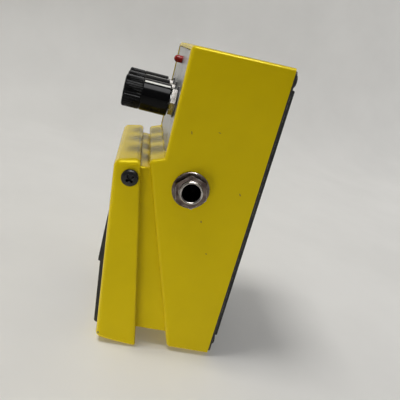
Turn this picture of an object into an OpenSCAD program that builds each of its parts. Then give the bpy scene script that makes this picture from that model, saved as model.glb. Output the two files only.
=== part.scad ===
// Compact die-cast effects pedal with a hinged, sprung foot treadle.
// It rests on its rubber base: +Z up, +Y towards the control panel, X across.
// The origin is on the ground under the middle of the pedal.

/* [Case] */
// Length of the case from the player's end to the back end
case_l = 129; // [126:1:132]
// Width of the case
case_w = 70.6; // [69.6:0.2:71.6]
// Wall thickness of the casting
wall = 2.5; // [2.3:0.1:2.7]
// Height of the control panel's rims over the case's bottom edge
panel_z = 39.2; // [39:0.1:39.6]
// Height of the side walls at the player's end
shoulder_z = 18.1; // [17.5:0.1:18.5]
// Width of the raised neck under the treadle
neck_w = 66; // [65.6:0.1:66.2]

/* [Treadle] */
// Width of the treadle over its skirts
treadle_w = 73; // [72.8:0.1:74]
// Thickness of the treadle's skirts
skirt_t = 2.9; // [2.7:0.1:2.9]
// Distance of the hinge axis from the player's end
hinge_y = 75.1; // [75:0.1:75.4]
// Height of the hinge axis over the case's bottom edge
hinge_z = 50.4; // [50.2:0.1:50.6]
// Travel of the treadle in degrees
press_deg = 3.5; // [2:0.5:3.5]

/* [Base] */
// Thickness of the base plate
plate_t = 1.0; // [0.8:0.1:1.2]
// Thickness of the rubber base under the plate
rubber_t = 2.0; // [1.6:0.1:2.4]

/* [Controls] */
// Distance between neighbouring knobs
knob_pitch = 19; // [18:0.5:20]
// Radius of a knob's skirt
knob_r = 6.3; // [6:0.1:6.6]
// Height of a knob
knob_h = 18; // [16:0.5:18]
// Distance of the knobs from the player's end
knob_y = 104.5; // [104:0.1:105]
// Distance of the indicator lamp from the player's end
led_y = 120.3; // [119.5:0.1:120.8]
// Radius of the indicator lamp
led_r = 1.5; // [1.4:0.1:2.4]

/* [Connectors] */
// Distance of the jacks from the player's end
jack_y = 75; // [74:0.5:76]
// Height of the jacks over the case's bottom edge
jack_z = 26.5; // [26:0.5:27]
// Radius of a jack's bore for a 6.35 mm plug
jack_bore_r = 3.25; // [3.2:0.01:3.26]
// Radius of the power inlet's centre pin
dc_pin_r = 1.05; // [1.0:0.05:1.25]
// Radius of the power inlet's socket
dc_bore_r = 2.9; // [2.8:0.05:3.0]

/* [Battery] */
// Length of the battery without its terminals
battery_l = 46.5; // [46:0.5:46.5]
// Width of the battery
battery_w = 26.5; // [26:0.1:26.5]
// Thickness of the battery
battery_t = 17.5; // [17:0.1:17.5]

/* [Hidden] */

$fn = 64;
eps = 0.01;                // overshoot of a cutting solid
cut = 1;                   // longer overshoot of a cutting solid
base_h = plate_t + rubber_t;

// Heights and lengths below are counted from the case's bottom edge and from the player's end.
front_y = 1.3;             // foot of the front wall
front_top_y = 1.5;         // top of the front wall
back_top_y = 127.3;        // top of the back wall, which leans in by its casting draft
shoulder_slope = 0.322;    // rise of the side walls towards the treadle's hinge
ledge_y = 82.8;            // end of the shoulder, over the control panel
ledge_foot_y = 84.9;       // foot of the ledge, on the control panel
corner_r = 1.8;            // radius of the case's upright corners
neck_y0 = 7.7;             // front of the neck
neck_y1 = 79.4;            // back of the neck
neck_top_z = 41.5;         // top of the neck, carried to the player's end
neck_slope = 0.145;
in_w = case_w - 2 * wall;  // width inside the case
neck_in_w = neck_w - 2 * wall;

bay_y0 = 20.6;             // battery bay
bay_y1 = 48.2;
bay_wall = 2;
bay_floor_z = 23.5;
battery_x0 = -29;
battery_x1 = battery_x0 + battery_l;
battery_y = (bay_y0 + bay_y1) / 2;
battery_z = bay_floor_z + battery_t / 2 + eps;
snap_x = battery_x1 + 2.2;
deck_t = 2.5;              // decks in the neck, in front of and behind the bay
front_deck_z = 40.5;
rear_deck_z = 45.5;
recess = 1.2;              // depth of the recess that holds the panel plate
panel_plate_t = 0.8;
deck_z = panel_z - recess;
deck_under_z = deck_z - 2.2;
panel_half_w = 33.2;
panel_y0 = 85.4;
panel_y1 = 125.6;

treadle_top_z = 49.9;      // top of the treadle, carried to the player's end
treadle_slope = 0.0946;
treadle_tilt = atan(treadle_slope);
skirt_z = 32.45;           // lower edge of the skirts, carried to the player's end
skirt_slope = 0.1862;
treadle_t = 2.3;
treadle_corner_r = 2.5;     // corners seen from above
treadle_in_w = treadle_w - 2 * skirt_t;

thumb_y = 58;              // thumbscrew, on the treadle's top
thumb_r = 6.9;
thumb_shank_r = 2.45;
run_gap = 0.05;            // radial clearance of a turning or sliding fit
well_r = 7.6;              // recess that holds the thumbscrew's head
well_depth = 3.4;
well_floor = 2.2;
clip_t = 0.7;
bush_top = -6.45;          // places along the thumbscrew's axis, from the treadle's top
bush_flange_r = 6.3;
bush_flange_t = 1.45;
bush_r = 3.9;
bush_end = -24.4;
seat_top = -19.5;
seat_t = 0.8;
tower_r = 8.4;             // tower that holds the spring
tower_in_r = 6.7;
tower_floor = 2;
tower_hole_r = 5.3;
spring_r = 5.55;
spring_wire_r = 0.55;
spring_turns = 5;
spring_steps = 16;         // stations in one turn of the spring
spring_sides = 6;          // sides of the wire

hinge_shank_r = 2.0;
hinge_thread_r = 1.5;
hinge_head_r = 3.35;
hinge_head_t = 1.7;
bush_wall = 1.1;
ear_r = 3.6;

switch_y = 14.4;
plunger_r = 1.75;
plunger_top_z = 44.85;
switch_z = 28;             // top of the switch's board
plunger_end_z = switch_z + 1.3 + (hinge_y - switch_y) * sin(press_deg);
switch_h = 8.5;
switch_side = 7;
switch_post_x = 10.5;
board_t = 1.6;

main_board_z = 8;
board_top_z = main_board_z + board_t;
control_board_z = 25.5;
pot_x = [-knob_pitch, 0, knob_pitch];
pot_r = 8.2;
pot_h = 7.2;
pot_bushing_r = 3.5;
pot_bushing_top_z = 41.3;
shaft_r = 3.0;
shaft_end_z = 55;
knob_z = 41.8;
grip_h = 7;
knob_teeth = 36;
knob_turn = [15, 0, -29];  // rest angle of each knob from the panel's back, left to right
nut_t = 1.9;
pot_washer_t = 0.6;

jack_bushing_r = 4.7;
jack_face = case_w / 2;
jack_lip = 4.5;            // how far the bushing stands out of the case
jack_body_l = 25;
jack_body_side = 16;
washer_t = 0.9;
jack_washer_r = 7.4;
jack_nut_r = 6.95;
jack_nut_t = 2.4;
jack_nut_turn = 13;        // turn of a nut's corner from the length of the pedal

dc_z = 18;
dc_face_y = case_l - wall - 1.5;   // front of the inlet's body, behind the back wall
dc_l = 13.5;
dc_collar = 2.6;
dc_depth = 8.5;            // depth of the socket behind its collar
dc_pin_l = 10;
dc_w = 12;
dc_h = 12;

screw_x = 30;              // base screws
screw_y = [6.5, 124.3];
screw_r = 1.5;
screw_head_r = 2.85;
screw_head_t = 1.4;
boss_r = 3.5;
boss_h = 14;
post_r = 2.6;              // posts that carry the main board
post_xy = [[-26, 34], [26, 34], [-28, 89.2], [28, 89.2]];
small_screw_r = 1.1;

yellow = [0.84, 0.75, 0.05];
black = [0.07, 0.07, 0.075];
dark = [0.16, 0.16, 0.17];
steel = [0.72, 0.73, 0.75];
copper = [0.78, 0.55, 0.22];
board_green = [0.1, 0.34, 0.2];

function shoulder(y) = shoulder_z + shoulder_slope * y;
function neck_top(y) = neck_top_z + neck_slope * y;
function treadle_top(y) = treadle_top_z + treadle_slope * y;
function skirt(y) = skirt_z + skirt_slope * y;
// The point at depth d under the treadle's top, square to it
function under_top(y, d) = [y + d * sin(treadle_tilt), treadle_top(y) - d * cos(treadle_tilt)];
// Points of a round corner about c, from angle a0 to a1
function arc(c, r, a0, a1, n = 6) = [for (i = [0:n]) c + r * [cos(a0 + (a1 - a0) * i / n),
    sin(a0 + (a1 - a0) * i / n)]];

// Carries a solid from the case's own measures to the pedal's origin
module in_case() translate([0, -case_l / 2, base_h]) children();
// Extrudes a side profile, drawn as (y, z), across the pedal
module across(w) rotate([90, 0, 90]) translate([0, 0, -w / 2]) linear_extrude(w) children();
// Extrudes a side profile from x0 to x1
module slab(x0, x1) rotate([90, 0, 90]) translate([0, 0, x0]) linear_extrude(x1 - x0) children();
// A cylinder along X from x0 to x1
module x_rod(r, x0, x1) translate([x0, 0, 0]) rotate([0, 90, 0]) cylinder(r = r, h = x1 - x0);
module tube(r, r_in, h) difference() {
    cylinder(r = r, h = h);
    translate([0, 0, -cut]) cylinder(r = r_in, h = h + 2 * cut);
}
module box(x0, y0, z0, x1, y1, z1) translate([x0, y0, z0]) cube([x1 - x0, y1 - y0, z1 - z0]);
module rounded(w, y0, y1, r) {
    x = w / 2 - r;
    polygon(concat(arc([x, y0 + r], r, -90, 0), arc([x, y1 - r], r, 0, 90),
        arc([-x, y1 - r], r, 90, 180), arc([-x, y0 + r], r, 180, 270)));
}
module on_thumb_axis() translate([0, thumb_y, treadle_top(thumb_y)])
    rotate([treadle_tilt, 0, 0]) children();
module on_both_sides() for (side = [0, 1]) mirror([side, 0, 0]) children();
module at_jack() translate([0, jack_y, jack_z]) children();
module at_hinge() translate([0, hinge_y, hinge_z]) children();
// Cross recess of a screw head
module cross_recess(size, depth) for (turn = [0, 90]) rotate(turn)
    translate([-size / 2, -size / 8, -depth]) cube([size, size / 4, depth + cut]);

// ---- case and covers ----

module case_profile() {
    edge = 1.2;
    polygon(concat(
        [[front_y, 0], [front_top_y, shoulder(front_top_y) - edge],
         [front_top_y + edge, shoulder(front_top_y + edge)]],
        [[ledge_y - edge, shoulder(ledge_y) - edge * shoulder_slope],
         [ledge_y, shoulder(ledge_y) - edge / 2], [ledge_foot_y, panel_z]],
        arc([back_top_y - edge, panel_z - edge], edge, 90, 3, 4), [[case_l, 0]]));
}
module case_outside() {
    intersection() {
        across(case_w) case_profile();
        translate([0, 0, -cut]) linear_extrude(panel_z + 20) rounded(case_w, front_y, case_l, corner_r);
    }
    across(neck_w) polygon([[neck_y0, 10], [neck_y0, neck_top(neck_y0)],
        [neck_y1, neck_top(neck_y1)], [neck_y1, 10]]);
    on_both_sides() at_hinge() x_rod(ear_r, neck_in_w / 2, neck_w / 2);
}
module case_cavity() {
    y0 = front_top_y + wall;
    y1 = ledge_y - wall;
    across(in_w) polygon([[y0, -cut], [y0, shoulder(y0) - wall], [y1, shoulder(y1) - wall],
        [ledge_foot_y - wall, deck_under_z], [back_top_y - wall, deck_under_z],
        [case_l - wall, -cut]]);
    box(-neck_in_w / 2, neck_y0 + wall, shoulder(neck_y0) - 5, neck_in_w / 2, neck_y1 - wall, 60);
}
module case_inside() {
    half = neck_w / 2 - eps;
    across(2 * half) polygon([[bay_y0 - bay_wall, bay_floor_z - bay_wall],
        [bay_y0 - bay_wall, front_deck_z + 2.5], [bay_y1 + bay_wall, rear_deck_z],
        [bay_y1 + bay_wall, bay_floor_z - bay_wall]]);
    box(-half, neck_y0 + eps, front_deck_z - deck_t, half, bay_y0, front_deck_z);
    box(-half, bay_y1, rear_deck_z - deck_t, half, neck_y1 - eps, rear_deck_z);
    on_thumb_axis() translate([0, 0, seat_top - seat_t - tower_floor])
        cylinder(r = tower_r, h = 12.5);
    for (x = [-switch_post_x, switch_post_x]) translate([x, switch_y, switch_z])
        cylinder(r = 2, h = front_deck_z - deck_t - switch_z + eps);
    for (x = [-screw_x, screw_x], y = screw_y) translate([x, y, 0]) cylinder(r = boss_r, h = boss_h);
    for (p = post_xy) translate([p[0], p[1], board_top_z])
        cylinder(r = post_r, h = (p[1] < bay_y1 ? bay_floor_z - bay_wall : deck_under_z)
            - board_top_z + eps);
}
module case_openings() {
    box(-neck_in_w / 2, bay_y0, bay_floor_z, neck_in_w / 2, bay_y1, 60);
    box(22, 26, bay_floor_z - 10, 28, 31, bay_floor_z + cut);
    on_thumb_axis() {
        translate([0, 0, seat_top - seat_t]) cylinder(r = tower_in_r, h = 30);
        translate([0, 0, bush_end - 5]) cylinder(r = tower_hole_r, h = 30);
    }
    translate([0, switch_y, front_deck_z - 10]) cylinder(r = 2.4, h = 20);
    for (x = [-switch_post_x, switch_post_x]) translate([x, switch_y, switch_z - eps])
        cylinder(r = small_screw_r, h = 6);
    for (p = post_xy) translate([p[0], p[1], board_top_z - eps]) cylinder(r = small_screw_r, h = 6);
    box(-panel_half_w, panel_y0, deck_z, panel_half_w, panel_y1, deck_z + 10);
    for (x = pot_x) translate([x, knob_y, deck_z - 5]) cylinder(r = pot_bushing_r + 0.1, h = 10);
    translate([0, led_y, deck_z - 5]) cylinder(r = led_r + 0.9, h = 10);
    on_both_sides() at_jack() x_rod(jack_bushing_r + 0.1, in_w / 2 - 5, case_w);
    on_both_sides() at_hinge() x_rod(hinge_thread_r, neck_in_w / 2 - cut, neck_w / 2 + cut);
    translate([0, case_l - 10, dc_z]) rotate([-90, 0, 0]) cylinder(r = 4.6, h = 20);
    for (x = [-screw_x, screw_x], y = screw_y) translate([x, y, -cut])
        cylinder(r = screw_r, h = boss_h - 2);
}
module main_case() color(yellow) in_case() difference() {
    union() {
        difference() {
            case_outside();
            case_cavity();
        }
        intersection() {
            case_inside();
            case_outside();
        }
    }
    case_openings();
}
module control_panel() color(steel) in_case() difference() {
    gap = 0.3;
    translate([0, 0, deck_z]) linear_extrude(panel_plate_t)
        rounded(2 * (panel_half_w - gap), panel_y0 + gap, panel_y1 - gap, 1);
    for (x = pot_x) translate([x, knob_y, deck_z - cut]) cylinder(r = pot_bushing_r + 0.1, h = 5);
    translate([0, led_y, deck_z - cut]) cylinder(r = led_r + 0.1, h = 5);
}
module base_plate() color(dark) in_case() difference() {
    translate([0, 0, -plate_t]) linear_extrude(plate_t)
        rounded(case_w - 1.2, front_y + 0.7, case_l - 1, corner_r);
    for (x = [-screw_x, screw_x], y = screw_y) translate([x, y, -plate_t - cut])
        cylinder(r = screw_r + 0.2, h = plate_t + 2 * cut);
}
module base_screws() color(black) in_case() for (x = [-screw_x, screw_x], y = screw_y)
    translate([x, y, -plate_t]) mirror([0, 0, 1]) difference() {
        union() {
            cylinder(r = screw_head_r, h = screw_head_t * 0.6);
            cylinder(r = screw_head_r - 0.5, h = screw_head_t);
            translate([0, 0, -8]) cylinder(r = screw_r, h = 8 + eps);
        }
        translate([0, 0, screw_head_t]) cross_recess(3, 0.9);
    }
module base_rubber() color(black) in_case() {
    lip = 0.5;
    translate([0, 0, -base_h]) linear_extrude(lip) rounded(64 - 2 * lip, 9.5 + lip, 121 - lip, 3);
    translate([0, 0, lip - base_h]) linear_extrude(rubber_t - lip) rounded(64, 9.5, 121, 3.4);
}
module insulating_sheet() color([0.85, 0.85, 0.8]) in_case()
    linear_extrude(0.4) rounded(62, 11, 119, 2);

// ---- treadle ----

module treadle_outline() {
    r = 3;
    top_a = 90 + treadle_tilt;
    nose = under_top(4.3, r);
    heel = under_top(78, r);
    polygon(concat([[0, skirt(0)], [1.0, 43.5]], arc(nose, r, 165, top_a), arc(heel, r, top_a, 10),
        [[82.45, 49.3], [82.1, 48.1], [81.2, skirt(80.6)]]));
}
module treadle_hollow() {
    polygon([[2.6, 20], [3.5, treadle_top(3.5) - treadle_t - 2], [5.6, treadle_top(5.6) - treadle_t],
        [78.6, treadle_top(78.6) - treadle_t], [80.2, 54], [80.3, 20]]);
}
module treadle() color(yellow) in_case() difference() {
    union() {
        difference() {
            intersection() {
                across(treadle_w) treadle_outline();
                translate([0, 0, 20]) linear_extrude(50) rounded(treadle_w, 0, 82.6, treadle_corner_r);
            }
            across(treadle_in_w) treadle_hollow();
        }
        on_thumb_axis() translate([0, 0, -well_depth - well_floor])
            cylinder(r = well_r + 1.6, h = well_depth + well_floor - 1);
    }
    on_thumb_axis() {
        translate([0, 0, -well_depth]) cylinder(r = well_r, h = 20);
        translate([0, 0, -20]) cylinder(r = thumb_shank_r + run_gap, h = 40);
    }
    at_hinge() x_rod(hinge_shank_r + bush_wall, -treadle_w, treadle_w);
}
module treadle_pad() color(black) in_case() difference() {
    thin = 1.6;
    across(62) polygon([[5.6, treadle_top(5.6)], [6.1, treadle_top(6.1) + thin - 0.3],
        [6.8, treadle_top(6.8) + thin], [35.2, treadle_top(35.2) + thin],
        [35.4, treadle_top(35.4) + 2.4], [37, treadle_top(37) + 2.35],
        [55.6, treadle_top(55.6) + 0.5], [56, treadle_top(56)]]);
    on_thumb_axis() cylinder(r = well_r + 1.4, h = 20, center = true);
}
module switch_actuator() color(dark) in_case() difference() {
    translate([0, switch_y, plunger_top_z + 0.15]) cylinder(r = 3.2, h = 6);
    across(20) polygon([[0, treadle_top(0) - treadle_t], [30, treadle_top(30) - treadle_t],
        [30, 70], [0, 70]]);
}
module hinge_screws() color(black) in_case() at_hinge() on_both_sides() {
    seat = treadle_w / 2 + 0.15;
    difference() {
        union() {
            x_rod(hinge_head_r, seat, seat + hinge_head_t * 0.6);
            x_rod(hinge_head_r - 0.6, seat, seat + hinge_head_t);
            x_rod(hinge_shank_r, neck_w / 2, seat + eps);
            x_rod(hinge_thread_r, neck_in_w / 2 - 2, neck_w / 2 + eps);
        }
        translate([seat + hinge_head_t, 0, 0]) rotate([0, 90, 0]) rotate(45) cross_recess(3.4, 1.1);
    }
}
module hinge_bushes() color("white") in_case() at_hinge() on_both_sides() {
    flange_x = neck_w / 2 + 0.05;
    difference() {
        union() {
            x_rod(hinge_shank_r + bush_wall, flange_x, treadle_w / 2);
            x_rod(hinge_shank_r + bush_wall + 0.4, flange_x, treadle_in_w / 2);
        }
        x_rod(hinge_shank_r + run_gap, 0, treadle_w);
    }
}
module thumbscrew() color(steel) in_case() on_thumb_axis() {
    head_h = well_depth + 1.2;
    slot_w = 1.6;
    translate([0, 0, -19]) cylinder(r = thumb_shank_r, h = 19 - well_depth + 0.1);
    translate([0, 0, 0.05 - well_depth]) difference() {
        union() {
            linear_extrude(head_h - 0.6) polygon([for (i = [0:71])
                (thumb_r - (i % 2) * 0.3) * [cos(5 * i), sin(5 * i)]]);
            cylinder(r = thumb_r - 0.6, h = head_h);
        }
        translate([-slot_w / 2, -thumb_r - cut, head_h - 1.5])
            cube([slot_w, 2 * thumb_r + 2 * cut, 3]);
    }
}
module thumbscrew_clip() color(steel) in_case() on_thumb_axis()
    translate([0, 0, -well_depth - well_floor - clip_t - 0.05]) tube(4.4, thumb_shank_r, clip_t);
module guide_bush() color(copper) in_case() on_thumb_axis() difference() {
    union() {
        translate([0, 0, bush_top - bush_flange_t]) cylinder(r = bush_flange_r, h = bush_flange_t);
        translate([0, 0, bush_end]) cylinder(r = bush_r, h = bush_top - bush_end);
    }
    translate([0, 0, bush_end - cut]) cylinder(r = thumb_shank_r + run_gap, h = 30);
    translate([0, 0, bush_end + 1.2]) tube(bush_r + cut, bush_r - 0.6, 0.8);
}
module guide_clip() color(steel) in_case() on_thumb_axis()
    translate([0, 0, bush_end + 1.25]) difference() {
        tube(6.2, bush_r - 0.55, 0.7);
        translate([-2.2, 0, -cut]) cube([4.4, 10, 3]);
    }
module spring_seat() color("white") in_case() on_thumb_axis()
    translate([0, 0, seat_top - seat_t]) tube(6.5, 5.2, seat_t);

// Points of the wire's rings: its centre line climbs evenly with the angle
function coil_ring(i, rise) = [for (k = [0:spring_sides - 1])
    let (a = 360 * i / spring_steps, b = 360 * k / spring_sides,
         r = spring_r + spring_wire_r * cos(b))
    [r * cos(a), r * sin(a), rise * i + spring_wire_r * sin(b)]];
module return_spring() color(steel) in_case() on_thumb_axis() {
    gap = 0.05;
    n = spring_turns * spring_steps;
    free = bush_top - bush_flange_t - seat_top - 2 * (spring_wire_r + gap);
    last = n * spring_sides;
    translate([0, 0, seat_top + spring_wire_r + gap]) polyhedron(
        points = [for (i = [0:n], p = coil_ring(i, free / n)) p],
        faces = concat(
            [[for (k = [0:spring_sides - 1]) k]],
            [for (i = [0:n - 1], k = [0:spring_sides - 1]) let (m = (k + 1) % spring_sides)
                [i * spring_sides + k, (i + 1) * spring_sides + k,
                 (i + 1) * spring_sides + m, i * spring_sides + m]],
            [[for (k = [spring_sides - 1:-1:0]) last + k]]));
}

// ---- foot switch ----

module foot_switch() color(dark) in_case() difference() {
    translate([-switch_side / 2, switch_y - switch_side / 2, switch_z])
        cube([switch_side, switch_side, switch_h]);
    translate([0, switch_y, switch_z + 1]) cylinder(r = plunger_r + run_gap, h = switch_h);
}
module switch_plunger() color("red") in_case() translate([0, switch_y, 0]) {
    translate([0, 0, plunger_end_z]) cylinder(r = plunger_r, h = plunger_top_z - plunger_end_z - 1);
    translate([0, 0, plunger_top_z - plunger_r]) intersection() {
        sphere(r = plunger_r);
        cylinder(r = plunger_r, h = plunger_r);
    }
}
module switch_board() color(board_green) in_case() difference() {
    box(-14, switch_y - 3.9, switch_z - board_t, 14, switch_y + 3.9, switch_z);
    for (x = [-switch_post_x, switch_post_x]) translate([x, switch_y, switch_z - 5])
        cylinder(r = small_screw_r + 0.1, h = 10);
}
module small_screw(reach) {
    cylinder(r = small_screw_r, h = reach);
    mirror([0, 0, 1]) difference() {
        cylinder(r = 2, h = 1.2);
        translate([0, 0, 1.2]) cross_recess(2.2, 0.7);
    }
}
module switch_screws() color(steel) in_case() for (x = [-switch_post_x, switch_post_x])
    translate([x, switch_y, switch_z - board_t]) small_screw(6);
module switch_leads() color("orange") in_case() for (x = [-5, 5])
    translate([x, switch_y, board_top_z]) cylinder(r = 0.6, h = switch_z - board_t - board_top_z);

// ---- battery ----

module battery() color(dark) in_case() translate([0, battery_y, battery_z])
    slab(battery_x0, battery_x1) rounded_rect(battery_w, battery_t, 1.8);
module rounded_rect(w, h, r) polygon(concat(
    arc([w / 2 - r, h / 2 - r], r, 0, 90), arc([r - w / 2, h / 2 - r], r, 90, 180),
    arc([r - w / 2, r - h / 2], r, 180, 270), arc([w / 2 - r, r - h / 2], r, 270, 360)));
module battery_terminals() color(steel) in_case() translate([0, battery_y, battery_z]) {
    for (side = [-1, 1]) translate([0, side * 6.35, 0])
        x_rod(side < 0 ? 2.9 : 3.9, battery_x1, snap_x);
}
module battery_snap() color(black) in_case() translate([0, battery_y, battery_z])
    slab(snap_x, snap_x + 3.2) rounded_rect(25, 12, 3);
module battery_leads() for (side = [0, 1]) color(side == 0 ? "red" : black) in_case()
    translate([snap_x + 3.2, 27.2 + 2.2 * side, battery_z]) {
        reach = 2.2;
        x_rod(0.65, 0, reach);
        translate([reach, 0, 0]) sphere(r = 0.65, $fn = 24);
        translate([reach, 0, board_top_z - battery_z]) cylinder(r = 0.65, h = battery_z - board_top_z);
    }

// ---- circuit boards ----

module main_board() color(board_green) in_case() difference() {
    box(-31.5, 11, main_board_z, 31.5, 118, board_top_z);
    for (p = post_xy) translate([p[0], p[1], main_board_z - cut])
        cylinder(r = small_screw_r + 0.1, h = 5);
}
module board_screws() color(steel) in_case() for (p = post_xy)
    translate([p[0], p[1], main_board_z]) small_screw(6);
module electrolytic_capacitors() color([0.12, 0.16, 0.35]) in_case()
    for (i = [0:2], j = [0:1]) translate([-19 + 8 * i, 24 + 22 * j, board_top_z])
        cylinder(r = 2.6 + 0.4 * j, h = 9);
module film_capacitors() color([0.75, 0.2, 0.12]) in_case()
    for (i = [0:3], j = [0:1]) translate([-20 + 9 * i, 55 + 46 * j, board_top_z])
        cube([6.5, 2.8, 6]);
module amplifier_chips() color(black) in_case()
    for (y = [38, 110]) translate([14, y, board_top_z]) {
        translate([-3.2, -4.8, 0.8]) cube([6.4, 9.6, 3.2]);
        for (i = [0:3], x = [-3.7, 3.2]) translate([x, -4.1 + 2.54 * i, 0]) cube([0.5, 0.7, 2]);
    }
module resistors() color([0.8, 0.68, 0.45]) in_case()
    for (i = [0:5], j = [0:1]) translate([-22 + 5.5 * i, 64 + 20 * j, board_top_z + 1])
        rotate([-90, 0, 0]) cylinder(r = 1, h = 6);
module control_board() color(board_green) in_case()
    box(-29, 93.5, control_board_z, 29, 123.2, control_board_z + board_t);
module board_header() color(copper) in_case() for (i = [0:7])
    box(-9.2 + 2.54 * i, 94.6, board_top_z, -8.6 + 2.54 * i, 95.2, control_board_z);

// ---- controls ----

module pot_bodies() color(steel) in_case() for (x = pot_x) translate([x, knob_y, 0]) {
    translate([0, 0, deck_under_z - pot_h]) difference() {
        cylinder(r = pot_r, h = pot_h);
        translate([0, 0, 1.5]) cylinder(r = pot_bushing_r, h = pot_h);
    }
    for (i = [-1, 0, 1]) box(5 * i - 0.5, -6.6, control_board_z + board_t, 5 * i + 0.5, -6.1,
        deck_under_z - pot_h + eps);
}
module pot_bushings() color(steel) in_case() for (x = pot_x)
    translate([x, knob_y, deck_under_z - pot_h + 1.5])
        tube(pot_bushing_r, shaft_r + run_gap, pot_bushing_top_z - deck_under_z + pot_h - 1.5);
module pot_washers() color(dark) in_case() for (x = pot_x)
    translate([x, knob_y, deck_z + panel_plate_t]) tube(6.2, pot_bushing_r + 0.05, pot_washer_t);
module pot_nuts() color(steel) in_case() for (x = pot_x)
    translate([x, knob_y, deck_z + panel_plate_t + pot_washer_t]) difference() {
        cylinder(r = 5.8, h = nut_t, $fn = 6);
        translate([0, 0, -cut]) cylinder(r = pot_bushing_r + 0.03, h = 5);
    }
module shaft(i) color(steel) in_case() translate([pot_x[i], knob_y, 0]) {
    z0 = deck_under_z - pot_h + 1.6;
    translate([0, 0, z0]) cylinder(r = shaft_r, h = shaft_end_z - z0);
}
module shaft_left() shaft(0);
module shaft_center() shaft(1);
module shaft_right() shaft(2);
module knob(i) color(black) in_case() translate([pot_x[i], knob_y, knob_z]) rotate(knob_turn[i])
    difference() {
        grip_z = knob_h - grip_h;
        n = 2 * knob_teeth;
        union() {
            rotate_extrude() polygon([[0, 0], [knob_r, 0], [knob_r - 0.1, grip_z - 0.3],
                [knob_r - 0.4, grip_z], [0, grip_z]]);
            translate([0, 0, grip_z - eps]) linear_extrude(grip_h - 0.5) polygon([for (k = [0:n - 1])
                (knob_r - 0.1 - 0.3 * (k % 2)) * [cos(360 * k / n), sin(360 * k / n)]]);
            translate([0, 0, grip_z]) cylinder(r = knob_r - 0.6, h = grip_h);
        }
        translate([0, 0, -cut]) cylinder(r = shaft_r, h = shaft_end_z - knob_z + cut + eps);
        translate([0, 0, -cut]) cylinder(r = 5.2, h = 2 + cut);
    }
module knob_left() knob(0);
module knob_center() knob(1);
module knob_right() knob(2);
module led() color("red") in_case() translate([0, led_y, 0]) {
    tip_z = deck_z + 4.4;
    base_z = deck_under_z - 1.2;
    translate([0, 0, base_z]) cylinder(r = led_r, h = tip_z - led_r - base_z);
    translate([0, 0, tip_z - led_r]) intersection() {
        sphere(r = led_r);
        cylinder(r = led_r, h = led_r);
    }
    for (x = [-0.9, 0.9]) box(x - 0.25, -0.25, control_board_z + board_t, x + 0.25, 0.25,
        base_z + eps);
}
module led_holder() color(black) in_case() translate([0, led_y, deck_under_z - 1.2])
    tube(led_r + 0.85, led_r, deck_z - deck_under_z + 1.2);

// ---- connectors ----

module jack() color(black) in_case() at_jack() difference() {
    half = jack_body_side / 2;
    x1 = in_w / 2;
    translate([x1 - jack_body_l, -half, -half]) cube([jack_body_l, 2 * half, 2 * half]);
    x_rod(jack_bore_r + 0.9, x1 - jack_body_l + 1.4, x1 + cut);
    x_rod(jack_bushing_r, x1 - 4, x1 + cut);
}
module input_jack() jack();
module output_jack() mirror([1, 0, 0]) jack();
module jack_bushings() color(steel) in_case() at_jack() on_both_sides()
    rotate([0, 90, 0]) rotate_extrude() {
        x0 = in_w / 2 - 4;
        x1 = jack_face + jack_lip;
        mouth = 0.4;
        polygon(concat([[jack_bore_r, x0], [jack_bushing_r, x0], [jack_bushing_r, x1 - 0.8]],
            arc([jack_bushing_r - 0.7, x1 - 0.7], 0.7, 0, 90),
            arc([jack_bore_r + mouth, x1 - mouth], mouth, 90, 180)));
    }
module jack_contacts() color(copper) in_case() at_jack() on_both_sides() for (i = [0:2])
    translate([12 + 7 * i, 0, 0]) {
        drop = jack_z - board_top_z;
        box(-1.5, -0.3, -drop, 1.5, 0.3, -jack_body_side / 2);
    }
module jack_washers() color(steel) in_case() at_jack() on_both_sides()
    translate([jack_face, 0, 0]) rotate([0, 90, 0]) tube(jack_washer_r, jack_bushing_r, washer_t);
module jack_nuts() color(steel) in_case() at_jack() on_both_sides()
    translate([jack_face + washer_t, 0, 0]) rotate([0, 90, 0]) rotate(90 + jack_nut_turn) difference() {
        intersection() {
            cylinder(r = jack_nut_r, h = jack_nut_t, $fn = 6);
            union() {
                cylinder(r = jack_nut_r + cut, h = jack_nut_t - 0.6);
                cylinder(r = jack_nut_r - 0.45, h = jack_nut_t);
            }
        }
        translate([0, 0, -cut]) cylinder(r = jack_bushing_r + 0.03, h = 5);
    }
module dc_jack() color(black) in_case() translate([0, dc_face_y, dc_z])
    rotate([90, 0, 0]) difference() {
        union() {
            translate([-dc_w / 2, -(dc_z - board_top_z), 0]) cube([dc_w, dc_h + 1.5, dc_l]);
            mirror([0, 0, 1]) translate([0, 0, -eps]) cylinder(r = 4.5, h = dc_collar);
        }
        translate([0, 0, -5]) cylinder(r = dc_bore_r, h = 5 + dc_depth);
    }
module dc_pin() color(steel) in_case() translate([0, dc_face_y - dc_depth, dc_z])
    rotate([-90, 0, 0]) cylinder(r = dc_pin_r, h = dc_pin_l);

main_case();
control_panel();
treadle();
treadle_pad();
switch_actuator();
thumbscrew();
thumbscrew_clip();
guide_bush();
guide_clip();
return_spring();
spring_seat();
hinge_screws();
hinge_bushes();
foot_switch();
switch_plunger();
switch_board();
switch_screws();
switch_leads();
battery();
battery_terminals();
battery_snap();
battery_leads();
main_board();
board_screws();
electrolytic_capacitors();
film_capacitors();
amplifier_chips();
resistors();
control_board();
board_header();
pot_bodies();
pot_bushings();
shaft_left();
shaft_center();
shaft_right();
knob_left();
knob_center();
knob_right();
pot_washers();
pot_nuts();
led();
led_holder();
input_jack();
output_jack();
jack_bushings();
jack_contacts();
jack_washers();
jack_nuts();
dc_jack();
dc_pin();
base_plate();
base_screws();
base_rubber();
insulating_sheet();
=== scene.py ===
import math
import bpy
import bmesh
from mathutils import Matrix, Vector


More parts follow.
